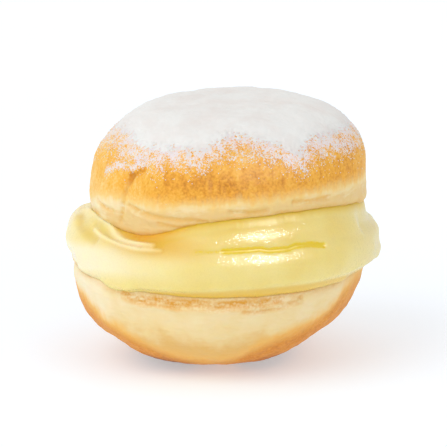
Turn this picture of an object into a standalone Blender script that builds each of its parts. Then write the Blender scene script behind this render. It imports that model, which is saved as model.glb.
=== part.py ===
"""A fried doughnut, split round its middle and filled with custard cream.

Three pieces lie on one another: the bowl-shaped lower half of dough, the custard that runs
right through the doughnut and bulges out all round, and the domed upper half of dough, which
sits a little crooked on it. Each piece starts as a UV sphere. The rings of the sphere are laid
along that piece's outline, from its lowest point to its highest, and the outline changes with
the direction round the doughnut, so every lip, fold and droop is worked out from a named size.

Units are metres, +Z is up. The origin is on the surface the doughnut stands on, in the middle
of its width and depth. Directions round the doughnut are in degrees, anticlockwise from +X
seen from above, so 270 is the front, at -Y.
"""

import math

import bmesh
import bpy

MM = 0.001

# Gap left between two pieces that lie on each other
CONTACT_GAP = 0.3 * MM

# Lower half of dough: a bowl with a flat foot to stand on and a cut face across the top
BOWL_RADIUS_X = 41.2 * MM
BOWL_RADIUS_Y = 40.5 * MM
BOWL_CENTRE_X = -1.0 * MM
BOWL_LEAN_X = -2.0 * MM  # how far the foot lies to one side of the rim
BOWL_SINK = 0.6 * MM  # depth of round bottom that is pressed flat into the foot
BOWL_SQUARENESS = 2.24  # 2 is an ellipse, more is boxier
RIM_FLARE = 1.5 * MM  # how far the rim stands out past the bowl
RIM_FLARE_DEPTH = 4.7 * MM
RIM_HEIGHT = 27.2 * MM
RIM_ROUND = 1.5 * MM

# Upper half of dough: a dome on a short wall that turns in to a rounded lower lip
DOME_RADIUS_X = 40.2 * MM
DOME_RADIUS_Y = 39.7 * MM
DOME_CENTRE_X = 1.2 * MM
DOME_LEAN_X = 2.2 * MM  # how far the top lies to one side of the widest line
DOME_WIDEST = 55.0 * MM  # height of the widest line
DOME_TOP = 77.3 * MM
DOME_SQUARENESS = 2.42
SHOULDER_PRESS = 1.8 * MM  # how far the left shoulder is pressed in
SHOULDER_HEIGHT = 66.8 * MM
SHOULDER_SPAN = 7.5 * MM
LIP_HEIGHT = 45.3 * MM
LIP_TURN_IN = 2.6 * MM
LIP_SQUARENESS = 3.2
CUT_CROWN = 1.1 * MM  # the cut face of the dome is a little hollow in the middle

# The pinched fold at the dome's front left: an upright crease below a short level one
PINCH_DIRECTION = 222.0
PINCH_HEIGHT = 59.7 * MM
PINCH_DEPTH = 1.2 * MM
PINCH_WIDTH = 6.0
LEDGE_DIRECTION = 214.0
LEDGE_DEPTH = 1.0 * MM
LEDGE_WIDTH = 16.0
LEDGE_SPAN = 1.7 * MM

# Custard: a slab between the cut faces, with a bulging side of two lobes and a slit between
CUSTARD_RADIUS_X = 45.2 * MM
CUSTARD_RADIUS_Y = 44.2 * MM
CUSTARD_INSET = 2.8 * MM  # how far inside the rim the custard leaves the lower cut face
CUSTARD_WIDEST = 0.42  # share of the way up its side at which the custard reaches furthest
SIDE_SQUARENESS_BELOW = 2.7
SIDE_SQUARENESS_ABOVE = 1.5
SIDE_SQUARENESS_SWELL = 0.8  # the custard's left shoulder is fuller than its right one
SLIT_DEPTH = 1.3 * MM
SLIT_HEIGHT = 41.4 * MM
SLIT_SPAN = 1.5 * MM

# Unevenness round the doughnut. Each row is a swelling: its direction and its width in degrees,
# and its size, which is negative for a hollow.
BOWL_LOBES = (
    (205, 30, 0.5 * MM),
    (238, 20, -0.7 * MM),
    (275, 28, 0.5 * MM),
    (345, 45, -1.2 * MM),
    (50, 25, -0.6 * MM),
    (100, 35, 0.6 * MM),
)
RIM_LOBES = ((345, 45, 0.7 * MM),)
RIM_WAVES = (
    (0, 45, 0.6 * MM),
    (180, 45, 0.6 * MM),
    (270, 45, -0.5 * MM),
    (140, 30, 0.5 * MM),
    (75, 35, -0.7 * MM),
)
DOME_LOBES = (
    (200, 14, 0.5 * MM),
    (222, 9, -0.6 * MM),
    (243, 16, 0.7 * MM),
    (296, 26, -0.5 * MM),
    (120, 40, 0.6 * MM),
    (65, 25, -0.5 * MM),
)
LIP_WAVES = (
    (228, 23, -4.2 * MM),
    (290, 50, 4.0 * MM),
    (318, 24, 0.9 * MM),
    (0, 60, 1.2 * MM),
    (180, 50, -1.1 * MM),
    (95, 35, 0.9 * MM),
    (140, 25, -1.2 * MM),
)
CUSTARD_LOBES = (
    (186, 22, 0.7 * MM),
    (216, 12, -1.2 * MM),
    (252, 22, 0.8 * MM),
    (335, 30, 0.6 * MM),
    (60, 30, -0.8 * MM),
    (110, 30, 0.7 * MM),
    (150, 22, -0.9 * MM),
)
FULL_SHOULDER = (200, 60, SIDE_SQUARENESS_SWELL)
LEFT_SHOULDER = (188, 60, SHOULDER_PRESS)
SLIT_REACH = (290, 48, SLIT_DEPTH)

# Rings and segments of the three spheres
SEGMENTS = 64
RINGS = 24
FACE_RINGS = 5  # rings that cross a cut face, from its middle to its edge
FOOT_RINGS = 2  # rings that cross the foot
RIM_RINGS = 3  # rings round the edge of the lower cut face
WALL_RINGS = 6  # rings from the upper cut face up to the widest line

CRUST_COLOUR = (0.79, 0.45, 0.14, 1.0)
BASE_COLOUR = (0.82, 0.60, 0.34, 1.0)
CUSTARD_COLOUR = (0.86, 0.72, 0.33, 1.0)
SHARP_ANGLE = math.radians(50)


def swelling(direction, row):
    """One row's size in its own direction, falling smoothly to nothing over about twice its width."""
    centre, width, size = row
    apart = (direction - centre + 180.0) % 360.0 - 180.0
    return size * math.exp(-((apart / width) ** 2))


def lobes(direction, rows):
    return sum(swelling(direction, row) for row in rows)


def band(height, centre, span):
    """1 at one height, falling smoothly to 0 over about twice the span."""
    return math.exp(-(((height - centre) / span) ** 2))


def smooth(value):
    """0 below 0, 1 above 1, and a smooth rise between."""
    value = min(max(value, 0.0), 1.0)
    return value * value * (3.0 - 2.0 * value)


def quarter(turn, power):
    """A point on a quarter of a superellipse: (how far out, how far up), from (1, 0) to (0, 1)."""
    angle = turn * math.pi / 2.0
    return abs(math.cos(angle)) ** (2.0 / power), abs(math.sin(angle)) ** (2.0 / power)


def oval(direction, radius_x, radius_y):
    """The radius of an ellipse in one direction."""
    angle = math.radians(direction)
    return 1.0 / math.hypot(math.cos(angle) / radius_x, math.sin(angle) / radius_y)


def bowl_radius(direction):
    return oval(direction, BOWL_RADIUS_X, BOWL_RADIUS_Y) + lobes(direction, BOWL_LOBES)


def rim_radius(direction):
    return bowl_radius(direction) + RIM_FLARE + lobes(direction, RIM_LOBES)


def dome_radius(direction):
    return oval(direction, DOME_RADIUS_X, DOME_RADIUS_Y) + lobes(direction, DOME_LOBES)


def custard_radius(direction):
    return oval(direction, CUSTARD_RADIUS_X, CUSTARD_RADIUS_Y) + lobes(direction, CUSTARD_LOBES)


def rim_height(direction):
    return RIM_HEIGHT + lobes(direction, RIM_WAVES)


def lip_height(direction):
    """Height of the dome's lower edge, which droops at the front left and rises at the front right."""
    return LIP_HEIGHT + lobes(direction, LIP_WAVES)


def mean_height(edge):
    """The mean height of an edge over a whole turn."""
    return sum(edge(360.0 * step / SEGMENTS) for step in range(SEGMENTS)) / SEGMENTS


RIM_MEAN = mean_height(rim_height)
LIP_MEAN = mean_height(lip_height)


def low_cut(direction, share):
    """Height of the lower cut face, at a share of the way from its middle to its edge."""
    return RIM_MEAN + (rim_height(direction) - RIM_MEAN) * share**2


def high_cut(direction, share):
    """Height of the upper cut face, at a share of the way from its middle to its edge."""
    middle = LIP_MEAN + CUT_CROWN
    return middle + (lip_height(direction) - middle) * share**2


def low_cut_edge(direction):
    """Radius at which the lower cut face starts to round over into the rim."""
    return rim_radius(direction) - RIM_ROUND


def high_cut_edge(direction):
    """Radius at which the upper cut face turns up into the lip."""
    return dome_radius(direction) - LIP_TURN_IN


def bowl_centre(height):
    return BOWL_CENTRE_X + BOWL_LEAN_X * (1.0 - smooth(height / RIM_HEIGHT))


def dome_centre(height):
    return DOME_CENTRE_X + DOME_LEAN_X * smooth((height - DOME_WIDEST) / (DOME_TOP - DOME_WIDEST))


def pinch(direction, height):
    """How deep the fold at the dome's front left is."""
    below = smooth((PINCH_HEIGHT + LEDGE_SPAN - height) / (2.0 * LEDGE_SPAN))
    upright = swelling(direction, (PINCH_DIRECTION, PINCH_WIDTH, PINCH_DEPTH)) * below
    level = swelling(direction, (LEDGE_DIRECTION, LEDGE_WIDTH, LEDGE_DEPTH))
    return upright + level * band(height, PINCH_HEIGHT, LEDGE_SPAN)


def bowl_outline(ring, direction):
    """(radius, height, centre x) of the lower half, from its foot to the middle of its cut face."""
    if ring >= RINGS - FACE_RINGS:
        share = (RINGS - ring) / FACE_RINGS
        return low_cut_edge(direction) * share, low_cut(direction, share), BOWL_CENTRE_X
    rim_start = rim_height(direction) - RIM_ROUND
    bowl_rings = RINGS - FACE_RINGS - RIM_RINGS
    if ring > bowl_rings:
        out, up = quarter((ring - bowl_rings) / RIM_RINGS, 2.0)
        reach = rim_radius(direction) - RIM_ROUND * (1.0 - out)
        return reach, rim_start + RIM_ROUND * up, BOWL_CENTRE_X
    # The round bottom would reach BOWL_SINK below the ground, and is pressed flat up to it.
    radius = bowl_radius(direction)
    depth = rim_start + BOWL_SINK
    foot_out = (1.0 - (rim_start / depth) ** BOWL_SQUARENESS) ** (1.0 / BOWL_SQUARENESS)
    if ring <= FOOT_RINGS:
        return radius * foot_out * ring / FOOT_RINGS, 0.0, bowl_centre(0.0)
    foot_turn = math.acos(foot_out ** (BOWL_SQUARENESS / 2.0)) / (math.pi / 2.0)
    share = (ring - FOOT_RINGS) / (bowl_rings - FOOT_RINGS)
    out, down = quarter(foot_turn * (1.0 - share), BOWL_SQUARENESS)
    height = max(rim_start - depth * down, 0.0)
    flare = (rim_radius(direction) - radius) * math.exp((height - rim_start) / RIM_FLARE_DEPTH)
    return radius * out + flare, height, bowl_centre(height)


def dome_outline(ring, direction):
    """(radius, height, centre x) of the upper half, from the middle of its cut face to its top."""
    if ring <= FACE_RINGS:
        share = ring / FACE_RINGS
        return high_cut_edge(direction) * share, high_cut(direction, share), DOME_CENTRE_X
    radius = dome_radius(direction)
    if ring <= FACE_RINGS + WALL_RINGS:
        out, down = quarter(1.0 - (ring - FACE_RINGS) / WALL_RINGS, LIP_SQUARENESS)
        height = DOME_WIDEST - (DOME_WIDEST - lip_height(direction)) * down
        reach = radius - LIP_TURN_IN * (1.0 - out) - pinch(direction, height)
        return reach, height, dome_centre(height)
    share = (ring - FACE_RINGS - WALL_RINGS) / (RINGS - FACE_RINGS - WALL_RINGS)
    out, up = quarter(share, DOME_SQUARENESS)
    height = DOME_WIDEST + (DOME_TOP - DOME_WIDEST) * up
    pressed = swelling(direction, LEFT_SHOULDER) * band(height, SHOULDER_HEIGHT, SHOULDER_SPAN)
    return (radius - pressed) * out - pinch(direction, height), height, dome_centre(height)


def custard_outline(ring, direction):
    """(radius, height, centre x) of the custard, from the middle of its underside to the middle of its top."""
    low_edge = rim_radius(direction) - CUSTARD_INSET
    high_edge = high_cut_edge(direction)
    low_share = low_edge / low_cut_edge(direction)
    if ring <= FACE_RINGS:
        share = ring / FACE_RINGS
        height = low_cut(direction, share * low_share) + CONTACT_GAP
        return low_edge * share, height, BOWL_CENTRE_X
    if ring >= RINGS - FACE_RINGS:
        share = (RINGS - ring) / FACE_RINGS
        return high_edge * share, high_cut(direction, share) - CONTACT_GAP, DOME_CENTRE_X
    low = low_cut(direction, low_share) + CONTACT_GAP
    high = high_cut(direction, 1.0) - CONTACT_GAP
    widest = low + (high - low) * CUSTARD_WIDEST
    turn = 2.0 * (ring - FACE_RINGS) / (RINGS - 2 * FACE_RINGS) - 1.0
    if turn > 0.0:
        out, up = quarter(turn, SIDE_SQUARENESS_ABOVE + swelling(direction, FULL_SHOULDER))
        height, edge, centre = widest + (high - widest) * up, high_edge, DOME_CENTRE_X
    else:
        out, down = quarter(-turn, SIDE_SQUARENESS_BELOW)
        height, edge, centre = widest - (widest - low) * down, low_edge, BOWL_CENTRE_X
    reach = edge + (custard_radius(direction) - edge) * out
    slit = swelling(direction, SLIT_REACH) * band(height, SLIT_HEIGHT, SLIT_SPAN)
    return reach - slit, height, centre * (1.0 - out)


def food_material(name, colour, roughness):
    """A plain Principled material in the piece's own colour."""
    material = bpy.data.materials.new(name)
    material.use_nodes = True
    shader = material.node_tree.nodes["Principled BSDF"]
    shader.inputs["Base Color"].default_value = colour
    shader.inputs["Roughness"].default_value = roughness
    shader.inputs["Metallic"].default_value = 0.0
    return material


def shaped_sphere(name, outline, material, collection):
    """One piece: a UV sphere whose rings are moved onto the piece's outline."""
    shape = bmesh.new()
    bmesh.ops.create_uvsphere(shape, u_segments=SEGMENTS, v_segments=RINGS, radius=1.0)
    for vertex in shape.verts:
        rise = math.asin(min(max(vertex.co.z, -1.0), 1.0))
        ring = round((rise / math.pi + 0.5) * RINGS)
        angle = math.atan2(vertex.co.y, vertex.co.x)
        radius, height, centre_x = outline(ring, math.degrees(angle) % 360.0)
        vertex.co = (centre_x + radius * math.cos(angle), radius * math.sin(angle), height)
    bmesh.ops.recalc_face_normals(shape, faces=shape.faces)
    mesh = bpy.data.meshes.new(name)
    shape.to_mesh(mesh)
    shape.free()
    mesh.shade_smooth()
    mesh.set_sharp_from_angle(angle=SHARP_ANGLE)
    mesh.materials.append(material)
    piece = bpy.data.objects.new(name, mesh)
    collection.objects.link(piece)


def clear_scene():
    for thing in list(bpy.data.objects):
        bpy.data.objects.remove(thing, do_unlink=True)


def build():
    clear_scene()
    doughnut = bpy.data.collections.new("filled_doughnut")
    bpy.context.scene.collection.children.link(doughnut)
    base = food_material("fried_dough_base", BASE_COLOUR, 0.65)
    cream = food_material("custard_cream", CUSTARD_COLOUR, 0.3)
    crust = food_material("fried_dough_crust", CRUST_COLOUR, 0.6)
    shaped_sphere("bun_bottom", bowl_outline, base, doughnut)
    shaped_sphere("custard", custard_outline, cream, doughnut)
    shaped_sphere("bun_top", dome_outline, crust, doughnut)


build()
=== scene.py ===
# %% [markdown]
# # A custard filled doughnut, dusted with icing sugar
# The real thing is a ball of yeast dough, fried on both sides, cut across the middle and
# filled until the custard swells out all round. The frame that is loaded here holds its
# plain solids: the lower half, the custard and the upper half. This lesson turns them into
# food. Each solid is copied, given finer faces, pushed and pressed, and finished
# with a material built from nodes. The sugar is then made as real geometry on top.

# %% Load the plain solids
import math

import bmesh
import bpy
import numpy as np
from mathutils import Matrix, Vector, kdtree


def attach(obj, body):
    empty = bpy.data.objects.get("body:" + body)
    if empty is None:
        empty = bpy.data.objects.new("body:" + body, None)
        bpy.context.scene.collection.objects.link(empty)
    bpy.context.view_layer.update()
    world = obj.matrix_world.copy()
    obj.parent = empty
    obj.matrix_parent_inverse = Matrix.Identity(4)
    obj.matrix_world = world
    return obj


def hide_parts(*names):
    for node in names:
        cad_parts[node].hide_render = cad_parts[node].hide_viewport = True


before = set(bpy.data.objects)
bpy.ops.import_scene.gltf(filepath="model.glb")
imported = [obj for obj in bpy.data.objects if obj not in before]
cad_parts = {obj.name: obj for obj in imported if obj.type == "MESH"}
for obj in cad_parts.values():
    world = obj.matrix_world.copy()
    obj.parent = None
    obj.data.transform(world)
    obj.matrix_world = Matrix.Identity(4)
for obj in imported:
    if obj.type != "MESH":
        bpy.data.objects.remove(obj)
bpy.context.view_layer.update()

MM = 0.001
print("solids:", sorted(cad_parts))

# %% [markdown]
# ## The camera
# Product pictures of small food are taken from a little above, from far away and with a
# long lens, so the doughnut isn't stretched by perspective. The camera is placed by three
# plain facts: how high it looks from, how wide a strip of the table it sees, and where it
# aims.

# %% Camera
LENS = 300.0
SENSOR = 36.0
CAMERA_TILT = math.radians(13.0)
VIEW_WIDTH = 129.9 * MM
AIM_HEIGHT = 39.2 * MM

camera_distance = VIEW_WIDTH * LENS / SENSOR
bpy.ops.object.select_all(action="DESELECT")
bpy.ops.object.camera_add(
    location=(0, -camera_distance * math.cos(CAMERA_TILT),
              AIM_HEIGHT + camera_distance * math.sin(CAMERA_TILT)),
    rotation=(math.radians(90) - CAMERA_TILT, 0, 0))
camera = bpy.context.object
camera.name = "camera"
camera.data.lens = LENS
camera.data.sensor_width = SENSOR
camera.data.clip_end = 20.0
bpy.context.scene.camera = camera
print(f"camera {camera_distance:.2f} m away")

# %% [markdown]
# ## Colour and node helpers
# Colours are easiest to read as the hex values a paint program shows. Blender's sockets
# want linear light, so one function converts them. A second one adds any node, sets its
# properties and feeds its sockets, which keeps each material short enough to read.

# %% Helpers for materials
def colour(text):
    """Turns "#rrggbb" into linear red, green, blue and a full alpha."""
    shares = [int(text[i:i + 2], 16) / 255 for i in (1, 3, 5)]
    linear = [s / 12.92 if s <= 0.04045 else ((s + 0.055) / 1.055) ** 2.4 for s in shares]
    return (*linear, 1.0)


def add(tree, kind, feeds=None, stops=None, **settings):
    """Adds one node: settings are its properties, feeds are values or links for its inputs."""
    made = tree.nodes.new(kind)
    for name, value in settings.items():
        setattr(made, name, value)
    for place, value in (feeds or {}).items():
        if isinstance(value, bpy.types.NodeSocket):
            tree.links.new(value, made.inputs[place])
        else:
            made.inputs[place].default_value = value
    if stops:
        ramp = made.color_ramp.elements
        while len(ramp) < len(stops):
            ramp.new(0.5)
        for element, (place, shade) in zip(ramp, stops):
            element.position = place
            element.color = colour(shade) if isinstance(shade, str) else (shade,) * 3 + (1,)
    return made


def new_material(name):
    """A node material with an empty tree, and the tree itself."""
    made = bpy.data.materials.new(name)
    made.use_nodes = True
    made.node_tree.nodes.clear()
    return made, made.node_tree


def finish_material(tree, **sockets):
    """Adds the Principled shader with its sockets (spaces written as _) and the output."""
    feeds = {name.replace("_", " "): value for name, value in sockets.items()}
    shader = add(tree, "ShaderNodeBsdfPrincipled", feeds)
    add(tree, "ShaderNodeOutputMaterial", {"Surface": shader.outputs[0]})


# %% [markdown]
# ## Floor and light
# The doughnut stands on a plain white table in a room of white light, as in a light tent.
# A white world gives nearly the same light from all sides. It is brightest just above the
# table, so that the far edge of the table melts into it. A very wide sun from the upper
# left shapes the dough, and one lamp at the front right only draws the wet shine on the
# custard. The table top glows a little, like lit acrylic, which keeps its shadows pale.

# %% Floor
bpy.ops.object.select_all(action="DESELECT")
bpy.ops.mesh.primitive_plane_add(size=12.0, location=(0, 0, 0))
table_top = bpy.context.object
table_top.name = "table_top"

lit_acrylic, tree = new_material("lit_acrylic")
where = add(tree, "ShaderNodeTexCoord")
cloudy = add(tree, "ShaderNodeTexNoise", {"Vector": where.outputs["Object"], "Scale": 3.0})
tint = add(tree, "ShaderNodeValToRGB", {"Fac": cloudy.outputs["Fac"]},
           stops=[(0.3, "#c6ced6"), (0.7, "#c9d1d9")])
finish_material(tree, Base_Color=tint.outputs["Color"], Roughness=0.9,
                Emission_Color=colour("#fefdff"), Emission_Strength=0.41)
table_top.data.materials.append(lit_acrylic)


# %% Light
def soft_lamp(name, place, wide, tall, power):
    """A rectangular lamp that looks at the middle of the doughnut."""
    aim = Vector((0, 0, AIM_HEIGHT)) - Vector(place)
    bpy.ops.object.light_add(type="AREA", location=place,
                             rotation=aim.to_track_quat("-Z", "Y").to_euler())
    lamp = bpy.context.object
    lamp.name = name
    lamp.data.shape = "RECTANGLE"
    lamp.data.size = wide
    lamp.data.size_y = tall
    lamp.data.energy = power
    return lamp


shine_lamp = soft_lamp("shine_lamp", (0.34, -0.58, 0.50), 0.34, 0.14, 8.5)
shine_lamp.visible_diffuse = False

bpy.ops.object.light_add(type="SUN", rotation=(math.radians(50), 0, math.radians(-50)))
window = bpy.context.object
window.name = "window"
window.data.energy = 0.84
window.data.angle = math.radians(50)

world = bpy.data.worlds.new("white_tent")
world.use_nodes = True
sky = world.node_tree
gaze = add(sky, "ShaderNodeTexCoord").outputs["Generated"]
upward = add(sky, "ShaderNodeSeparateXYZ", {"Vector": gaze}).outputs["Z"]
glow = add(sky, "ShaderNodeMapRange",
           {"Value": upward, "From Min": 0.02, "From Max": 0.2, "To Min": 1.1, "To Max": 0.82})
backdrop = sky.nodes["Background"]
backdrop.inputs["Color"].default_value = colour("#ffffff")
sky.links.new(glow.outputs[0], backdrop.inputs["Strength"])
bpy.context.scene.world = world
bpy.context.scene.view_settings.view_transform = "Standard"

# %% [markdown]
# ## Turning a plain solid into soft food
# Every piece of dough starts as a copy of its solid. The copy's loose triangles are merged,
# rounded by a subdivision, and remeshed into even little squares. Even squares matter,
# because the next steps push the surface about and a long thin face would tear.

# %% Helpers for meshes
def choose(piece):
    """Makes one object the only selected and the active one."""
    bpy.ops.object.select_all(action="DESELECT")
    piece.select_set(True)
    bpy.context.view_layer.objects.active = piece


def apply_modifier(piece, kind, **settings):
    """Adds a modifier with its settings and applies it."""
    choose(piece)
    made = piece.modifiers.new(kind.lower(), kind)
    for name, value in settings.items():
        setattr(made, name, value)
    bpy.ops.object.modifier_apply(modifier=made.name)


def food_from(node_name, piece_name, square=0.9 * MM):
    """A soft, evenly meshed copy of a solid."""
    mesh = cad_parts[node_name].data.copy()
    mesh.materials.clear()
    piece = bpy.data.objects.new(piece_name, mesh)
    mesh.name = piece_name
    bpy.context.scene.collection.objects.link(piece)
    choose(piece)
    bpy.ops.object.mode_set(mode="EDIT")
    bpy.ops.mesh.select_all(action="SELECT")
    bpy.ops.mesh.remove_doubles(threshold=0.01 * MM)
    bpy.ops.mesh.tris_convert_to_quads()
    bpy.ops.object.mode_set(mode="OBJECT")
    apply_modifier(piece, "SUBSURF", levels=1, render_levels=1)
    apply_modifier(piece, "REMESH", mode="VOXEL", voxel_size=square, use_smooth_shade=True)
    apply_modifier(piece, "SMOOTH", factor=0.5, iterations=4)
    print(piece_name, "starts with", len(piece.data.polygons), "faces")
    return piece


def finer(piece):
    """Splits each little square in four, for the fine work."""
    apply_modifier(piece, "SUBSURF", levels=1, render_levels=1)
    print(piece.name, "now has", len(piece.data.polygons), "faces")

# %% [markdown]
# ## Sculpting with numbers
# A baker's finger leaves a line or a dent. The same is done here in edit mode: the vertices
# near a short path are selected, and the shrink/fatten or move operator pushes them with
# proportional editing, so that the neighbourhood follows softly. A path is a list of places
# on the food, each as direction (degrees, 270 is the front), radius and height in mm.

# %% Helpers for sculpting
def place(direction, radius, height):
    """A point from its direction in degrees and its radius and height in mm."""
    turn = math.radians(direction)
    return Vector((radius * math.cos(turn), radius * math.sin(turn), height)) * MM


def along(path, step=0.4):
    """Points every few tenths of a mm along a path of (direction, radius, height) rows."""
    rows = np.array(path, float)
    if len(rows) == 1:
        return [place(*rows[0])]
    leaps = np.diff(rows, axis=0) * (0.7, 1.0, 1.0)
    travel = np.concatenate([[0], np.cumsum(np.linalg.norm(leaps, axis=1))])
    stops = np.linspace(0, travel[-1], max(2, int(travel[-1] / step)))
    columns = [np.interp(stops, travel, rows[:, k]) for k in range(3)]
    return [place(*row) for row in zip(*columns)]


def surface_finder(piece):
    """A search tree over the vertices of a piece."""
    finder = kdtree.KDTree(len(piece.data.vertices))
    for vertex in piece.data.vertices:
        finder.insert(vertex.co, vertex.index)
    finder.balance()
    return finder


def corners_of(piece):
    """Every vertex's place and normal, as two arrays."""
    flat = np.empty((2, len(piece.data.vertices) * 3))
    piece.data.vertices.foreach_get("co", flat[0])
    piece.data.vertices.foreach_get("normal", flat[1])
    return flat[0].reshape(-1, 3), flat[1].reshape(-1, 3)


def sculpt(piece, strokes, near=0.5):
    """Works through strokes: (path, move in mm, reach in mm), move a number or a vector.

    Returns how many mm each vertex was pressed in."""
    start, outward = corners_of(piece)
    finder = surface_finder(piece)
    choose(piece)
    bpy.ops.object.mode_set(mode="EDIT")
    for path, move, reach in strokes:
        bpy.ops.mesh.select_all(action="DESELECT")
        bm = bmesh.from_edit_mesh(piece.data)
        bm.verts.ensure_lookup_table()
        for point in along(path):
            foot, nearest, _ = finder.find(point)
            bm.verts[nearest].select_set(True)
            for _, index, _ in finder.find_range(foot, near * MM):
                bm.verts[index].select_set(True)
        bm.select_flush_mode()
        bmesh.update_edit_mesh(piece.data)
        soft = {"use_proportional_edit": True, "proportional_edit_falloff": "SMOOTH",
                "proportional_size": reach * MM}
        if isinstance(move, (int, float)):
            bpy.ops.transform.shrink_fatten(value=move * MM, **soft)
        else:
            bpy.ops.transform.translate(value=[part * MM for part in move], **soft)
    bpy.ops.object.mode_set(mode="OBJECT")
    print(piece.name, "took", len(strokes), "strokes")
    return ((start - corners_of(piece)[0]) * outward).sum(axis=1) / MM


def near_points(piece, points, reach):
    """1 on a vertex that touches one of the points, falling to 0 at reach mm."""
    finder = kdtree.KDTree(len(points))
    for index, point in enumerate(points):
        finder.insert(point, index)
    finder.balance()
    gaps = np.array([finder.find(vertex.co)[2] for vertex in piece.data.vertices]) / MM
    return np.clip(1 - gaps / reach, 0, 1)


def near_piece(piece, other, reach):
    """1 where a piece touches another, falling to 0 at reach mm from it."""
    return near_points(piece, [vertex.co for vertex in other.data.vertices], reach)


def near_path(piece, path, reach):
    """1 on a line drawn on the surface, falling evenly to 0 at reach mm from it."""
    bpy.context.view_layer.update()
    feet = [piece.closest_point_on_mesh(point)[1] for point in along(path)]
    return near_points(piece, feet, reach)


def line_share(piece, path, reach):
    """The same with a soft top and a soft foot."""
    share = near_path(piece, path, reach)
    return share * share * (3 - 2 * share)


def lift(piece, heights):
    """Moves each vertex out (or in) by its own height in mm: painted weights, then Displace."""
    for sign in (1, -1):
        amounts = np.clip(sign * heights, 0, None)
        most = float(amounts.max())
        painted = piece.vertex_groups.new(name="painted")
        for index in np.flatnonzero(amounts):
            painted.add([int(index)], float(amounts[index]) / most, "REPLACE")
        apply_modifier(piece, "DISPLACE", strength=sign * most * MM, mid_level=0.0,
                       vertex_group="painted")
        piece.vertex_groups.clear()


def spots(piece):
    """Direction, radius and height of every vertex (degrees and mm), and its normal."""
    corners, outward = corners_of(piece)
    x, y, z = corners.T / MM
    return np.degrees(np.arctan2(y, x)) % 360, np.hypot(x, y), z, outward


def close_seam(piece, other, move, reach=2.5):
    """Moves the outer edge of a piece, where it meets another piece, up or down in mm."""
    direction, radius, height, normal = spots(piece)
    touching = (near_piece(piece, other, 1.3) > 0) & (radius > 36)
    choose(piece)
    bpy.ops.object.mode_set(mode="EDIT")
    bpy.ops.mesh.select_all(action="DESELECT")
    bm = bmesh.from_edit_mesh(piece.data)
    bm.verts.ensure_lookup_table()
    for index in np.flatnonzero(touching):
        bm.verts[index].select_set(True)
    bm.select_flush_mode()
    bmesh.update_edit_mesh(piece.data)
    bpy.ops.transform.translate(
        value=(0, 0, move * MM), use_proportional_edit=True,
        proportional_edit_falloff="SMOOTH", proportional_size=reach * MM)
    bpy.ops.object.mode_set(mode="OBJECT")
    print(piece.name, "meets", other.name, "at", int(touching.sum()), "vertices")


def roughen(piece, size, height, depth=2, weights=""):
    """Lumps of a given size and height in mm, from a cloud pattern."""
    pattern = bpy.data.textures.new("lumps", "CLOUDS")
    pattern.noise_scale = size * MM
    pattern.noise_depth = depth
    apply_modifier(piece, "DISPLACE", texture=pattern, texture_coords="LOCAL",
                   strength=height * MM, mid_level=0.5, vertex_group=weights)

# %% [markdown]
# ## Measures that the materials can read
# Browning, sugar and sauce don't follow the faces; they follow height and direction. So
# each finished piece stores a few numbers on its vertices, such as how many mm a spot lies
# above the line where the dough turns brown. The line itself is a level with soft waves.
# Some measures also carry painted light and shade: darker under the lips, in creases, in the slit and on the
# underside, and lighter on the left side.

# %% Helpers for measures
def bell(values, centre, width):
    """1 at the centre, falling softly to 0 over the width; works round the circle too."""
    off = (values - centre + 180) % 360 - 180
    return np.exp(-np.abs(off / width) ** 2.4)


def waves(direction, level, rows):
    """A level plus soft waves, each given as centre, half width in degrees, and height."""
    return level + sum(height * bell(direction, centre, width) for centre, width, height in rows)


def store(piece, name, values):
    """Writes one number for each vertex, for the material to read."""
    slot = piece.data.attributes.new(name, "FLOAT", "POINT")
    slot.data.foreach_set("value", np.asarray(values, np.float32))



# %% [markdown]
# ## The lower half of the bun
# The dough below stays pale in front, where it touched its neighbour in the fryer, and is
# brown underneath and at the sides; painted shade darkens the underside further where it
# meets the table. Its cut rim is crumbly: a wavy crease and a few crumbs run below the custard.

# %% Lower half: shape
base_dough = food_from("bun_bottom", "base_dough")
RIM = [(228, 42, 25.3), (236, 42, 24.6), (244, 42, 25.0), (251, 42, 24.5),
       (259, 42, 25.1), (267, 42, 24.5), (275, 42, 25.0), (284, 42, 24.7), (293, 41.8, 25.3)]
SECOND_RIM = [(278, 42, 23.2), (286, 41.8, 22.9), (294, 41.4, 23.8), (302, 41, 25.0)]
sculpt(base_dough, [
    ([(300, 39, 18.0)], 0.5, 7.0),
    ([(215, 41, 15.0), (222, 39, 12.0)], 0.5, 6.0),
    ([(250, 36, 9.0)], -0.4, 5.0),
    ([(268, 32, 6.0)], 0.5, 4.0),
    ([(288, 33, 8.0)], 0.4, 3.0),
    ([(200, 43, 22.0)], -0.5, 5.0),
    ([(262, 17, 1.0), (280, 17, 1.0)], (0, 0, 0.8), 8.0),
    ([(165, 34.0, 6.5), (185, 34.0, 6.5), (203, 34.0, 6.5)], -1.0, 13.0),
    ([(330, 30.0, 6.5), (350, 30.0, 6.5), (372, 30.0, 6.5)], -1.0, 13.0),
    ([(330, 42.0, 27.0), (350, 42.0, 27.0), (370, 42.0, 27.0)], (0, 0, 1.0), 6.0),
])
roughen(base_dough, 9.0, 0.8)
finer(base_dough)
crumbly = np.maximum(line_share(base_dough, RIM, 2.1),
                     0.7 * line_share(base_dough, SECOND_RIM, 1.5))
lift(base_dough, -0.5 * line_share(base_dough, RIM, 1.2)
     + 0.35 * line_share(base_dough, [(d, r, h - 1.5) for d, r, h in RIM], 1.3)
     - 0.45 * line_share(base_dough, SECOND_RIM, 1.0)
     + 0.3 * line_share(base_dough, [(d, r, h - 1.1) for d, r, h in SECOND_RIM], 1.3))
roughen(base_dough, 3.0, 0.35)
roughen(base_dough, 1.0, 0.12)
crumbs = base_dough.vertex_groups.new(name="crumbs")
for index in np.flatnonzero(crumbly):
    crumbs.add([int(index)], float(crumbly[index]), "REPLACE")
roughen(base_dough, 1.1, 0.6, weights="crumbs")
print("lower half:", len(base_dough.data.polygons), "faces")

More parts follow.
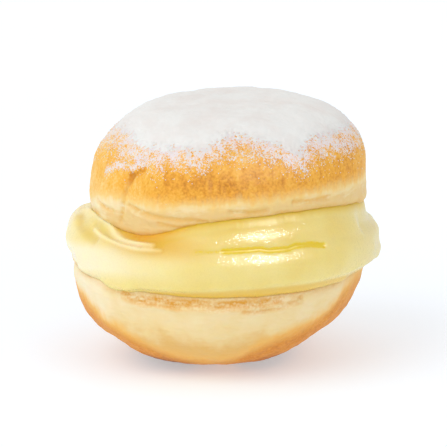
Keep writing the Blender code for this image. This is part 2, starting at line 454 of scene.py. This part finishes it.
# %% [markdown]
# ## The custard
# Set custard is soft, wet and smooth. It was squeezed out in two fat lobes with a slit
# between them, it folds over itself at the left, and its lower edge hangs over the rim
# like a lip. It is a little larger than its solid, so that it touches both halves.

# %% Custard: shape
LIP = [(190, 31.0), (199, 30.6), (207, 29.0), (214, 27.9), (221, 27.2), (228, 27.2),
       (236, 27.7), (245, 28.8), (257, 29.5), (276, 30.5), (300, 30.7), (330, 30.8), (352, 30.4)]
UNDER_LIP = [(turn_, 43.6, height_ - 0.8) for turn_, height_ in LIP[5:]]
SLIT = [(260, 43, 40.6), (266, 43, 40.8), (270, 43, 41.1), (275, 43, 41.2), (284, 43, 41.5),
        (287, 43, 40.9), (295, 43, 40.9), (298, 43, 41.6), (305, 43, 41.3), (310, 43, 40.3)]
FAINT_SLIT = [(317, 43.6, 41.6), (324, 43.8, 41.0), (331, 44, 40.3)]
STRAND = [(184, 40.5, 43.2), (192, 39.4, 43.5), (200, 38.8, 43.6), (208, 38.4, 43.0),
          (214, 38.6, 42.2), (220, 39.4, 41.2), (227, 40.4, 40.7), (234, 41.2, 40.6),
          (242, 42.0, 41.0)]
SECOND_STRAND = [(207, 41.0, 41.6), (213, 41.3, 40.8), (221, 41.2, 40.2), (229, 41.8, 39.7),
                 (237, 42.8, 39.9), (246, 43.4, 40.4)]
BETWEEN = [(204, 40.0, 42.4), (212, 40.2, 41.5), (221, 40.6, 40.7), (229, 41.2, 40.2),
           (237, 42.0, 40.3)]
HOLLOW = [(190, 41.4, 42.2), (198, 42.2, 41.2), (205, 42.4, 40.4), (211, 42.6, 39.6)]

custard_filling = food_from("custard", "custard_filling")
sculpt(custard_filling, [
    ([(330, 43.5, 29.0), (350, 43.8, 29.0), (370, 43.8, 29.0)], (0, 0, 1.0), 5.0),
    ([(236, 44.5, 34.5), (262, 44.6, 35.0), (290, 44.4, 35.5), (322, 45.0, 36.0)], 0.4, 5.0),
    ([(160, 45.0, 31.0), (180, 45.2, 31.0), (196, 45.0, 31.5)], -1.6, 5.0),
    ([(168, 43.4, 42.0), (182, 43.4, 42.0), (192, 43.0, 42.0)], 0.9, 3.5),
    ([(338, 43.6, 43.5), (360, 43.2, 43.0), (380, 43.2, 43.0)], -1.6, 5.0),
    ([(345, 45.6, 36.0), (370, 45.6, 36.0)], -0.6, 4.0),
    ([(350, 45.0, 31.0), (370, 45.0, 31.0)], 0.5, 3.0),
    ([(222, 43.6, 29.4), (230, 43.8, 29.6)], (-0.2, -0.2, -1.6), 6.0),
    (HOLLOW, -0.5, 2.5),
])
roughen(custard_filling, 8.0, 0.5)
apply_modifier(custard_filling, "SMOOTH", factor=0.5, iterations=2)
finer(custard_filling)
apply_modifier(custard_filling, "DISPLACE", strength=0.45 * MM, mid_level=0.0)
strands = line_share(custard_filling, STRAND, 1.5)
in_slit = np.maximum(line_share(custard_filling, SLIT[2:], 1.4),
                     0.5 * line_share(custard_filling, SLIT[:4], 0.9))
second_strand = line_share(custard_filling, SECOND_STRAND, 1.1)
lift(custard_filling, 0.9 * strands
     + 0.5 * second_strand
     - 0.45 * line_share(custard_filling, BETWEEN, 1.0)
     - 0.5 * in_slit
     - 0.2 * line_share(custard_filling, FAINT_SLIT, 2.0)
     - 0.5 * line_share(custard_filling, UNDER_LIP, 2.2)
     - 0.4 * line_share(custard_filling, HOLLOW, 2.5))
apply_modifier(custard_filling, "SMOOTH", factor=0.5, iterations=2)
print("custard:", len(custard_filling.data.polygons), "faces")

# %% [markdown]
# ## The upper half of the bun
# The domed half was fried first and is golden, with a pale ring just above the custard. At
# the left it was pinched, which left a ledge that holds sugar and a crease below it. Fine
# wrinkles run along the pale ring where the dough shrank as it cooled.

# %% Upper half: shape
dome_dough = food_from("bun_top", "dome_dough")
LEDGE = [(208, 38.4, 58.8), (211, 38.0, 59.9), (215, 37.4, 61.3), (220, 37.0, 61.2),
         (226, 36.9, 61.0), (232, 37.2, 62.3)]
FOLD = [(233, 37.2, 61.6), (230.5, 37.0, 60.7), (228, 36.9, 59.9), (225, 36.8, 58.8),
        (223.5, 37.0, 57.2)]
CREASE = [(225, 36.6, 59.1), (223, 37.2, 56.4), (222, 37.6, 53.8), (221, 37.8, 51.0),
          (220.5, 38.0, 48.2), (219, 38.0, 45.5)]
WRINKLES = [[(225, 38.6, 50.8), (230, 38.8, 50.2), (235, 39.4, 49.8), (245, 39.8, 49.1),
             (255, 39.4, 49.0), (263, 39.0, 48.7)],
            [(243, 39.4, 47.4), (252, 39.2, 47.0), (260, 39.0, 47.9)],
            [(273, 39.2, 51.6), (281, 39.2, 51.3), (288, 39.4, 51.7)],
            [(300, 40.0, 53.4), (309, 40.2, 53.0), (318, 40.4, 53.2)],
            [(204, 39.0, 49.6), (210, 39.0, 48.4), (215, 39.0, 48.0)]]
sculpt(dome_dough, [
    ([(205, 39.4, 51.0)], 0.5, 5.5),
    ([(240, 39.4, 53.0)], 0.5, 6.0),
    ([(170, 39.2, 56.0), (185, 39.2, 56.0), (200, 39.2, 56.0)], -0.8, 9.0),
    ([(345, 41.0, 48.5), (365, 41.0, 48.5)], 0.8, 3.0),
    (CREASE, -0.35, 2.0),
    (FOLD, -0.5, 1.8),
    (LEDGE, 0.4, 2.2),
    ([(0, 0, 77.0), (300, 12, 76.5)], (0, 0, -0.9), 20.0),
])
roughen(dome_dough, 10.0, 0.9)
finer(dome_dough)
wrinkled = np.max([line_share(dome_dough, path, 1.2) for path in WRINKLES], axis=0)
in_crease = line_share(dome_dough, CREASE, 1.2)
in_fold = line_share(dome_dough, FOLD, 1.3)
lift(dome_dough, -0.65 * wrinkled - 0.35 * in_crease - 0.55 * in_fold
     - 0.4 * line_share(dome_dough, CREASE[:3], 1.0)
     - 0.3 * line_share(dome_dough, [(265, 39.6, 57.6), (266, 39.4, 60.6)], 1.0)
     - 0.3 * line_share(dome_dough, [(272, 39.6, 55.8), (271, 39.5, 58.8)], 1.0)
     + 0.3 * line_share(dome_dough, [(d, r, h - 1.6) for d, r, h in WRINKLES[0]], 1.5))
roughen(dome_dough, 3.0, 0.40)
roughen(dome_dough, 1.1, 0.18)
print("upper half:", len(dome_dough.data.polygons), "faces")

# %% [markdown]
# ## Closing the seams
# Custard sticks to bread. Where the pieces meet, the sculpting has left hairline gaps that
# would show as dark lines. The outer edge of each piece is found by its distance to the
# neighbour and drawn up or down a little, until the two overlap by a fraction of a mm.

# %% Seams
close_seam(custard_filling, dome_dough, 0.9)
close_seam(dome_dough, custard_filling, -0.5)
close_seam(custard_filling, base_dough, 0.2)
close_seam(base_dough, custard_filling, 1.3)

# %% Measures of the lower half
direction, radius, height, normal = spots(base_dough)
BROWN_LINE = [(20, 29), (90, 28), (150, 27), (185, 24), (202, 20), (213, 17), (222, 14.5),
              (233, 10), (246, 7), (262, 5.5), (276, 7), (285, 11), (296, 14), (308, 16),
              (316, 18), (323, 21), (329, 25), (340, 27)]
browned = np.interp(direction, *zip(*BROWN_LINE), period=360) - height
# Tan tone, darker towards the bottom; the left front is painted lighter, which is painted light.
tan_and_left_light = 0.38 + 0.62 * np.clip((20 - height) / 18, 0, 1) - 0.35 * bell(direction, 195, 24)
store(base_dough, "browned", browned)
# Darker brown low down: partly the fried underside's own brown, partly painted shade where the base meets the
# table, less in front.
toast_and_shade = 4.5 * np.clip((7 - height) / 5, 0, 1) ** 1.3 * (1 - 0.8 * bell(direction, 265, 28))
store(base_dough, "toast_and_shade", toast_and_shade)
store(base_dough, "tan_and_left_light", tan_and_left_light)
rim_edge = 0.7 * near_piece(base_dough, custard_filling, 2.0) * bell(direction, 270, 70)
store(base_dough, "stain_and_crease_shade", np.maximum(crumbly, rim_edge))

# %% Measures of the custard
direction, radius, height, normal = spots(custard_filling)
# Painted shade: below the custard's own lip, near the dome's lip, in the hollow and on the upper lobe just
# under the dome, the colour turns a deeper gold.
below_lip = np.clip(np.interp(direction, *zip(*LIP)) - height, 0, 1)
below_lip *= 0.5 + 0.5 * near_piece(custard_filling, base_dough, 2.5)
near_dome = near_piece(custard_filling, dome_dough, 3.2 + 2.5 * bell(direction, 245, 26))
near_dome *= 1 - 0.5 * bell(direction, 190, 20)
hollow = 0.45 * line_share(custard_filling, HOLLOW, 3.2)
upper_lobe = 0.35 * bell(height, 46, 5.0) * bell(direction, 265, 55)
painted_shade = np.max([below_lip, near_dome ** 1.3, hollow, upper_lobe], axis=0)
# Painted light: the left side is painted paler where the light falls, partly also because the custard is thin
# there.
pale_line = np.interp(direction, (186, 200, 220, 235), (32.5, 33.0, 35.0, 36.6))
pale = bell(direction, 205, 38) * np.clip(1.4 * bell(height, pale_line, 4.4), 0, 1)
pale = np.maximum(pale, 0.6 * bell(direction, 185, 16))
# Painted shade under the dome's lip at the front left, around the strands; the strands are mostly kept free of
# it.
shade_under_left_lip = 1.0 * bell(direction, 240, 22) * bell(height, 41.8, 3.4)
fade = np.clip((250 - direction) / 16, 0, 1) * np.clip((direction - 186) / 12, 0, 1)
all_strands = np.maximum(strands, second_strand) * fade
painted_shade = np.maximum(painted_shade, shade_under_left_lip) * (1 - 0.8 * all_strands)
store(custard_filling, "painted_shade", painted_shade)
# The slit measure carries painted shade: the slit is painted a saturated yellow.
store(custard_filling, "slit_shade", in_slit)
store(custard_filling, "strand", 0.9 * all_strands)
by_slit = line_share(custard_filling, SLIT, 2.2)
under_dome = bell(height, 49.0, 2.2) * bell(direction, 285, 34)
dull = np.max([0.95 * np.clip(1.5 * by_slit, 0, 1), np.clip(1.4 * near_dome, 0, 0.9), under_dome,
               0.6 * bell(direction, 190, 30), 0.7 * bell(direction, 352, 22)], axis=0)
store(custard_filling, "dull", dull)
# Painted shade, orange gold: under the dome's lip at the left, under the custard's lip and at the front left.
store(custard_filling, "painted_lip_shade", np.maximum(near_dome * bell(direction, 236, 15),
                                          np.maximum(0.35 * below_lip, 0.3 * shade_under_left_lip)))
store(custard_filling, "pale", pale)
# Painted shade and sheen: the right end is painted greyer, and the custard is thin there too.
store(custard_filling, "thin_shade_and_sheen", bell(direction, 350, 22))

# %% Measures of the upper half
SUGAR_LINE = [(238, 14, -2.0), (222, 12, -1.4), (259, 6, -1.8), (277, 12, 1.9), (304, 6, -3.0), (180, 22, -1.0),
              (150, 12, 1.4), (120, 8, -2.2), (88, 14, 1.6), (62, 9, -1.8), (30, 14, 0.8)]
STREAK = [(224, 34.6, 68.0), (226, 35.8, 66.0), (228, 36.6, 64.0), (229, 36.9, 62.4)]
direction, radius, height, normal = spots(dome_dough)
browned = height - waves(direction, 52.0, [(325, 66, 3.2), (178, 20, -4.0)])
dusted = height - waves(direction, 65.6, SUGAR_LINE)
by_ledge = near_path(dome_dough, LEDGE, 3.0)
on_ledge = np.where(by_ledge > 0, 8.2 * by_ledge - 5.4 + 3 * (normal[:, 2] - 0.35), -50)
by_streak = near_path(dome_dough, STREAK, 2.6)
on_streak = np.where(by_streak > 0, 8 * by_streak - 4.5, -50)
dusted = np.maximum(dusted, np.maximum(on_ledge, on_streak)) - 8 * in_fold
# Darker crust at the front above the pale ring, painted shade in the fold under the ledge, darker towards the
# right back, and the left side painted lighter where the light falls.
toast_and_shade = bell(direction, 268, 34) * bell(height, 58.5, 5.0) + 0.7 * in_fold
toast_and_shade += 0.4 * bell(direction, 340, 30) - 1.0 * bell(direction, 195, 42)
# The pale ring is darker towards the lip, and its left side is painted lighter where the light falls.
tan_and_left_light = -0.20 + np.clip(-browned / 7, 0, 0.75) - 0.65 * bell(direction, 194, 28)
store(dome_dough, "browned", browned)
store(dome_dough, "dusted", np.where(dusted > 0, 0.5 * dusted, dusted))
store(dome_dough, "toast_and_shade", toast_and_shade)
store(dome_dough, "tan_and_left_light", tan_and_left_light)
# The stain colour marks where custard soaked the dough, and is painted shade in the wrinkles and the crease.
creases = np.maximum(0.9 * wrinkled, 0.8 * in_crease)
store(dome_dough, "stain_and_crease_shade", np.maximum(near_piece(dome_dough, custard_filling, 1.6), creases))

# %% [markdown]
# ## The sugar cap
# Icing sugar lies on the crown in a soft, even coat and breaks up into patches on the
# shoulder. The cap is a copy of the crown's faces, lifted where the coat is thick and sunk
# below the crust where it is thin. Small lumps then make it break through in ragged islands.

# %% Sugar cap
CAP_START = 1.6
bare = dusted < CAP_START
choose(dome_dough)
bpy.ops.object.duplicate()
sugar_cap = bpy.context.object
sugar_cap.name = "sugar_cap"
sugar_cap.data.name = "sugar_cap"
bpy.ops.object.mode_set(mode="EDIT")
bpy.ops.mesh.select_all(action="DESELECT")
bm = bmesh.from_edit_mesh(sugar_cap.data)
bm.verts.ensure_lookup_table()
for index in np.flatnonzero(bare):
    bm.verts[index].select_set(True)
bmesh.update_edit_mesh(sugar_cap.data)
bpy.ops.mesh.delete(type="VERT")
bpy.ops.object.mode_set(mode="OBJECT")

cover = dusted[~bare] - CAP_START
coat = sugar_cap.vertex_groups.new(name="coat")
torn = sugar_cap.vertex_groups.new(name="torn")
thick = np.clip(cover / 5.0, 0, 1)
ragged = np.clip(1.0 - np.abs(cover - 2.2) / 3.4, 0, 1)
for index in range(len(cover)):
    coat.add([index], float(thick[index]), "REPLACE")
    torn.add([index], float(ragged[index]), "REPLACE")
apply_modifier(sugar_cap, "DISPLACE", strength=0.75 * MM, mid_level=0.0, vertex_group="coat")
apply_modifier(sugar_cap, "DISPLACE", strength=-0.33 * MM, mid_level=0.0)
roughen(sugar_cap, 0.8, 1.3, weights="torn")
roughen(sugar_cap, 5.0, 0.25, weights="coat")
roughen(sugar_cap, 0.6, 0.12)
apply_modifier(sugar_cap, "SOLIDIFY", thickness=0.6 * MM, offset=-1.0)
print("sugar cap:", len(sugar_cap.data.polygons), "faces")

# %% [markdown]
# ## Loose grains
# Below the cap single clumps of sugar stick to the crust. One clump is modelled, and a
# geometry node tree scatters turned and scaled copies over the crust. The last node makes
# the copies real, so the result is one ordinary mesh.

# %% One clump
bpy.ops.object.select_all(action="DESELECT")
bpy.ops.mesh.primitive_ico_sphere_add(subdivisions=1, radius=0.16 * MM)
clump = bpy.context.object
clump.name = "clump"
bpy.ops.object.mode_set(mode="EDIT")
bpy.ops.transform.resize(value=(1.0, 0.8, 0.7))
bpy.ops.object.mode_set(mode="OBJECT")

# %% Scatter
density = np.exp(-((dusted + 0.5) / 2.4) ** 2) + 0.06 * np.exp(-((dusted + 4) / 3.0) ** 2)
store(dome_dough, "grain_share", density)
GRAINS_PER_MM2 = 2.0

bpy.ops.object.select_all(action="DESELECT")
bpy.ops.mesh.primitive_plane_add(size=1 * MM)
sugar_grains = bpy.context.object
sugar_grains.name = "sugar_grains"
scatter = bpy.data.node_groups.new("scatter_grains", "GeometryNodeTree")
scatter.interface.new_socket("Geometry", in_out="OUTPUT", socket_type="NodeSocketGeometry")
crust = add(scatter, "GeometryNodeObjectInfo", {"Object": dome_dough})
grain = add(scatter, "GeometryNodeObjectInfo", {"Object": clump})
share = add(scatter, "GeometryNodeInputNamedAttribute", {"Name": "grain_share"}, data_type="FLOAT")
many = add(scatter, "GeometryNodeDistributePointsOnFaces",
           {"Mesh": crust.outputs["Geometry"], "Density Max": GRAINS_PER_MM2 / MM ** 2,
            "Density Factor": share.outputs["Attribute"], "Distance Min": 0.2 * MM, "Seed": 3},
           distribute_method="POISSON")
turn = add(scatter, "FunctionNodeRandomValue",
           {"Max": (math.tau,) * 3, "Seed": 5}, data_type="FLOAT_VECTOR")
size = add(scatter, "FunctionNodeRandomValue", {2: 0.35, 3: 1.6, "Seed": 7}, data_type="FLOAT")
copies = add(scatter, "GeometryNodeInstanceOnPoints",
             {"Points": many.outputs["Points"], "Instance": grain.outputs["Geometry"],
              "Rotation": turn.outputs["Value"], "Scale": size.outputs[1]})
real = add(scatter, "GeometryNodeRealizeInstances", {"Geometry": copies.outputs["Instances"]})
add(scatter, "NodeGroupOutput", {0: real.outputs["Geometry"]})
apply_modifier(sugar_grains, "NODES", node_group=scatter)
bpy.data.objects.remove(clump)
print("grains:", len(sugar_grains.data.polygons), "faces")

# %% [markdown]
# ## Fried dough
# Fried yeast dough is a thin brown skin over a cream coloured crumb. The skin is golden
# with darker blotches, has streaks where it stretched, and tiny blisters from the fat. The
# colour runs from cream to gold over the browned measure, with noise to fray the line.
# Painted shade darkens the creases, the fold under the ledge and the underside, and the
# left side is painted lighter where the light falls.
# Light enters the dough a little, so subsurface scattering takes the hardness off.

# %% Material: fried dough
def dough_material(name, pale, middle, gold, stain_and_shade, frayed, soft, ripple, mottle, crown):
    """Cream to gold by the browned measure, darkened by toast and painted shade; the crown is dusted as well.
    """
    made, tree = new_material(name)
    where = add(tree, "ShaderNodeTexCoord").outputs["Object"]
    read = {measure: add(tree, "ShaderNodeAttribute", attribute_name=measure).outputs["Fac"]
            for measure in ("browned", "tan_and_left_light", "stain_and_crease_shade", "toast_and_shade", "dusted")}
    tall = add(tree, "ShaderNodeMapping", {"Vector": where, "Scale": (1, 1, 0.28)})
    blotch = add(tree, "ShaderNodeTexNoise",
                 {"Vector": where, "Scale": 1 / (7 * MM), "Detail": 3.0}).outputs["Fac"]
    streak = add(tree, "ShaderNodeTexNoise",
                 {"Vector": tall.outputs[0], "Scale": 1 / (1.5 * MM), "Detail": 4.0}).outputs["Fac"]
    fleck = add(tree, "ShaderNodeTexNoise",
                {"Vector": where, "Scale": 1 / (0.7 * MM), "Detail": 3.0}).outputs["Fac"]
    wander = add(tree, "ShaderNodeMath", {0: streak, 1: frayed, 2: read["browned"]},
                 operation="MULTIPLY_ADD")
    drift = add(tree, "ShaderNodeMath", {0: blotch, 1: frayed, 2: wander.outputs[0]},
                operation="MULTIPLY_ADD")
    brown = add(tree, "ShaderNodeMapRange",
                {"Value": drift.outputs[0], "From Min": frayed - soft, "From Max": frayed + soft},
                interpolation_type="SMOOTHSTEP")
    flat = add(tree, "ShaderNodeMapping", {"Vector": where, "Scale": (0.4, 0.4, 1.3)})
    wrinkle = add(tree, "ShaderNodeTexNoise",
                  {"Vector": flat.outputs[0], "Scale": 1 / (1.6 * MM), "Detail": 4.0}).outputs["Fac"]
    uneven = add(tree, "ShaderNodeMath", {0: wrinkle, 1: ripple, 2: blotch}, operation="MULTIPLY_ADD")
    mottled = add(tree, "ShaderNodeMath", {0: uneven.outputs[0], 1: mottle, 2: read["tan_and_left_light"]},
                  operation="MULTIPLY_ADD")
    pale_tone = add(tree, "ShaderNodeValToRGB", {"Fac": mottled.outputs[0]}, stops=pale)
    coarse = add(tree, "ShaderNodeMix", {0: 0.5, 2: blotch, 3: streak})
    fine = add(tree, "ShaderNodeMix", {0: 0.4, 2: coarse.outputs[0], 3: fleck})
    # The toast measure darkens the gold, painted shade included.
    level = add(tree, "ShaderNodeMath", {0: read["toast_and_shade"], 1: -0.09, 2: fine.outputs[0]},
                operation="MULTIPLY_ADD")
    gold_tone = add(tree, "ShaderNodeValToRGB", {"Fac": level.outputs[0]}, stops=gold)
    half_way = add(tree, "ShaderNodeMapRange", {"Value": brown.outputs[0], "From Max": 0.5})
    beyond = add(tree, "ShaderNodeMapRange", {"Value": brown.outputs[0], "From Min": 0.4})
    honey = add(tree, "ShaderNodeMix",
                {0: half_way.outputs[0], 6: pale_tone.outputs[0], 7: colour(middle)},
                data_type="RGBA")
    baked = add(tree, "ShaderNodeMix",
                {0: beyond.outputs[0], 6: honey.outputs[2], 7: gold_tone.outputs[0]},
                data_type="RGBA")
    crumb = add(tree, "ShaderNodeMix", {0: 0.35, 2: wrinkle, 3: fleck})
    torn = add(tree, "ShaderNodeMapRange",
               {"Value": crumb.outputs[0], "From Min": 0.34, "From Max": 0.58})
    # Painted shade in the creases uses the same colour as the custard stain.
    strong = add(tree, "ShaderNodeMath", {0: torn.outputs[0], 1: read["stain_and_crease_shade"]},
                 operation="MULTIPLY", use_clamp=True)
    finish = add(tree, "ShaderNodeMix",
                 {0: strong.outputs[0], 6: baked.outputs[2], 7: colour(stain_and_shade)},
                 data_type="RGBA").outputs[2]
    if crown:
        powder = add(tree, "ShaderNodeTexNoise",
                     {"Vector": where, "Scale": 1 / (0.5 * MM), "Detail": 3.0, "Roughness": 0.7})
        clumps = add(tree, "ShaderNodeTexNoise", {"Vector": where, "Scale": 1 / (2.4 * MM)})
        both = add(tree, "ShaderNodeMix",
                   {0: 0.3, 2: powder.outputs["Fac"], 3: clumps.outputs["Fac"]})
        lift = add(tree, "ShaderNodeMath", {0: read["dusted"], 1: 0.036, 2: both.outputs[0]},
                   operation="MULTIPLY_ADD")
        white = add(tree, "ShaderNodeMapRange",
                    {"Value": lift.outputs[0], "From Min": 0.485, "From Max": 0.54, "To Max": 0.95})
        finish = add(tree, "ShaderNodeMix",
                     {0: white.outputs[0], 6: finish, 7: colour("#e6dddf")},
                     data_type="RGBA").outputs[2]
    blister = add(tree, "ShaderNodeTexVoronoi", {"Vector": where, "Scale": 1 / (1.3 * MM)},
                  feature="SMOOTH_F1")
    skin = add(tree, "ShaderNodeBump",
               {"Height": blister.outputs["Distance"], "Strength": 0.35, "Distance": 0.15 * MM})
    grainy = add(tree, "ShaderNodeMix", {0: brown.outputs[0], 2: wrinkle, 3: fine.outputs[0]})
    fibre = add(tree, "ShaderNodeBump",
                {"Height": grainy.outputs[0], "Strength": 0.6, "Distance": 0.6 * MM,
                 "Normal": skin.outputs[0]})
    finish_material(tree, Base_Color=finish, Roughness=0.55, Normal=fibre.outputs[0],
                    Subsurface_Weight=0.3, Subsurface_Radius=(1.0, 0.55, 0.25),
                    Subsurface_Scale=1.6 * MM, Specular_IOR_Level=0.3)
    return made


crust_gold = dough_material(
    "fried_crust",
    pale=[(0.35, "#f3e5c0"), (0.8, "#ecd49e"), (1.0, "#e6c585")],
    gold=[(0.30, "#c27b16"), (0.41, "#df9828"), (0.49, "#ecab36"), (0.57, "#f0b74c"),
          (0.70, "#f4cd80")],
    middle="#f0cd82", stain_and_shade="#e6b65c", frayed=4.0, soft=3.4,
    ripple=0.9, mottle=0.9, crown=True)
# The darkest gold stop is reached on the underside, as painted shade where the base meets the table.
base_gold = dough_material(
    "fried_base",
    pale=[(0.35, "#f1e2bd"), (0.8, "#ebd196"), (1.0, "#e3b86c")],
    gold=[(0.15, "#8a5524"), (0.35, "#c87a25"), (0.5, "#dc8f2e"), (0.68, "#ecab4a")],
    middle="#edba62", stain_and_shade="#dc9a28", frayed=2.5, soft=4.5,
    ripple=0.25, mottle=0.5, crown=False)
dome_dough.data.materials.append(crust_gold)
base_dough.data.materials.append(base_gold)

# %% [markdown]
# ## Custard
# Pastry cream is egg, milk and starch: smooth, wet and slightly see-through. The shine
# comes from a low roughness, and fine pits break it into specks. Strong scattering with a
# warm radius makes thin edges paler and deep folds more saturated; on top of that, painted
# shade gives the gold under both lips, in the hollow and in the slit, painted light makes
# the left side paler, and the right end is painted greyer with shade and sheen.

# %% Material: custard
pastry_cream, tree = new_material("pastry_cream")
where = add(tree, "ShaderNodeTexCoord").outputs["Object"]
read = {measure: add(tree, "ShaderNodeAttribute", attribute_name=measure).outputs["Fac"]
        for measure in ("painted_shade", "painted_lip_shade", "pale", "thin_shade_and_sheen", "slit_shade", "strand", "dull")}
swirl = add(tree, "ShaderNodeTexNoise", {"Vector": where, "Scale": 1 / (12 * MM), "Detail": 2.0})
body = add(tree, "ShaderNodeValToRGB", {"Fac": swirl.outputs["Fac"]},
           stops=[(0.35, "#e9d37b"), (0.65, "#ebda8c")]).outputs[0]
# Of these mixes, the pale cream is painted light on the left side, the grey cream is painted shade and sheen on
# the right end, and the two golds are painted shade under the lips.
for measure, shade in (("pale", "#f3e8c2"), ("thin_shade_and_sheen", "#e4d497"), ("painted_shade", "#deb82e"),
                       ("painted_lip_shade", "#e6a428"), ("strand", "#f3e3b2")):
    body = add(tree, "ShaderNodeMix", {0: read[measure], 6: body, 7: colour(shade)},
               data_type="RGBA").outputs[2]
pits = add(tree, "ShaderNodeTexNoise", {"Vector": where, "Scale": 1 / (0.9 * MM), "Detail": 1.0})
ragged = add(tree, "ShaderNodeMath", {0: pits.outputs["Fac"], 1: 0.6, 2: read["slit_shade"]},
             operation="MULTIPLY_ADD")
# Painted shade: a saturated lemon yellow, frayed by noise, along the slit between the lobes.
slit_shade = add(tree, "ShaderNodeMapRange",
            {"Value": ragged.outputs[0], "From Min": 0.5, "From Max": 0.85})
body = add(tree, "ShaderNodeMix", {0: slit_shade.outputs[0], 6: body, 7: colour("#e8cb28")},
           data_type="RGBA").outputs[2]
wet = add(tree, "ShaderNodeBump",
          {"Height": pits.outputs["Fac"], "Strength": 1.0, "Distance": 0.25 * MM})
glaze = add(tree, "ShaderNodeMapRange", {"Value": read["dull"], "To Min": 1.0, "To Max": 0.0})
bubbles = add(tree, "ShaderNodeTexNoise", {"Vector": where, "Scale": 1 / (0.4 * MM), "Detail": 2.0})
specks = add(tree, "ShaderNodeMapRange", {"Value": bubbles.outputs["Fac"], "From Min": 0.44,
                                          "From Max": 0.60, "To Min": 0.15, "To Max": 1.0})
shine = add(tree, "ShaderNodeMath", {0: glaze.outputs[0], 1: specks.outputs[0]},
            operation="MULTIPLY")
finish_material(tree, Base_Color=body, Roughness=0.4, Coat_Normal=wet.outputs[0],
                Subsurface_Weight=0.8, Subsurface_Radius=(1.0, 0.8, 0.35),
                Subsurface_Scale=2.0 * MM, IOR=1.42, Coat_Weight=shine.outputs[0], Coat_IOR=1.4,
                Coat_Roughness=0.15)
custard_filling.data.materials.append(pastry_cream)

# %% [markdown]
# ## Icing sugar
# Icing sugar is ground so fine that it looks like chalk: fully matt, nearly white, with a
# faint warmth where the crust shines through.

# %% Material: icing sugar
icing_sugar, tree = new_material("icing_sugar")
where = add(tree, "ShaderNodeTexCoord").outputs["Object"]
drift = add(tree, "ShaderNodeTexNoise", {"Vector": where, "Scale": 1 / (9 * MM), "Detail": 3.0})
chalk = add(tree, "ShaderNodeValToRGB", {"Fac": drift.outputs["Fac"]},
            stops=[(0.35, "#e5e0dc"), (0.6, "#e8e7e4")])
powder = add(tree, "ShaderNodeTexNoise", {"Vector": where, "Scale": 1 / (0.5 * MM), "Detail": 4.0})
dusty = add(tree, "ShaderNodeBump",
            {"Height": powder.outputs["Fac"], "Strength": 0.5, "Distance": 0.12 * MM})
finish_material(tree, Base_Color=chalk.outputs[0], Roughness=0.95, Normal=dusty.outputs[0],
                Subsurface_Weight=0.2, Subsurface_Radius=(1.0, 0.9, 0.85),
                Subsurface_Scale=0.4 * MM, Specular_IOR_Level=0.1)
for piece in (sugar_cap, sugar_grains):
    piece.data.materials.clear()
    piece.data.materials.append(icing_sugar)

# %% [markdown]
# ## Handing over
# Each piece rides on the doughnut's one body and stands for its solid, which is hidden.

# %% Bodies
for piece, slot in ((base_dough, "base_dough"), (custard_filling, "custard"),
                    (dome_dough, "crust_dough"), (sugar_cap, "powdered_sugar"),
                    (sugar_grains, "powdered_sugar")):
    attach(piece, "root")
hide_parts("bun_bottom")
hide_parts("custard")
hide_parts("bun_top")
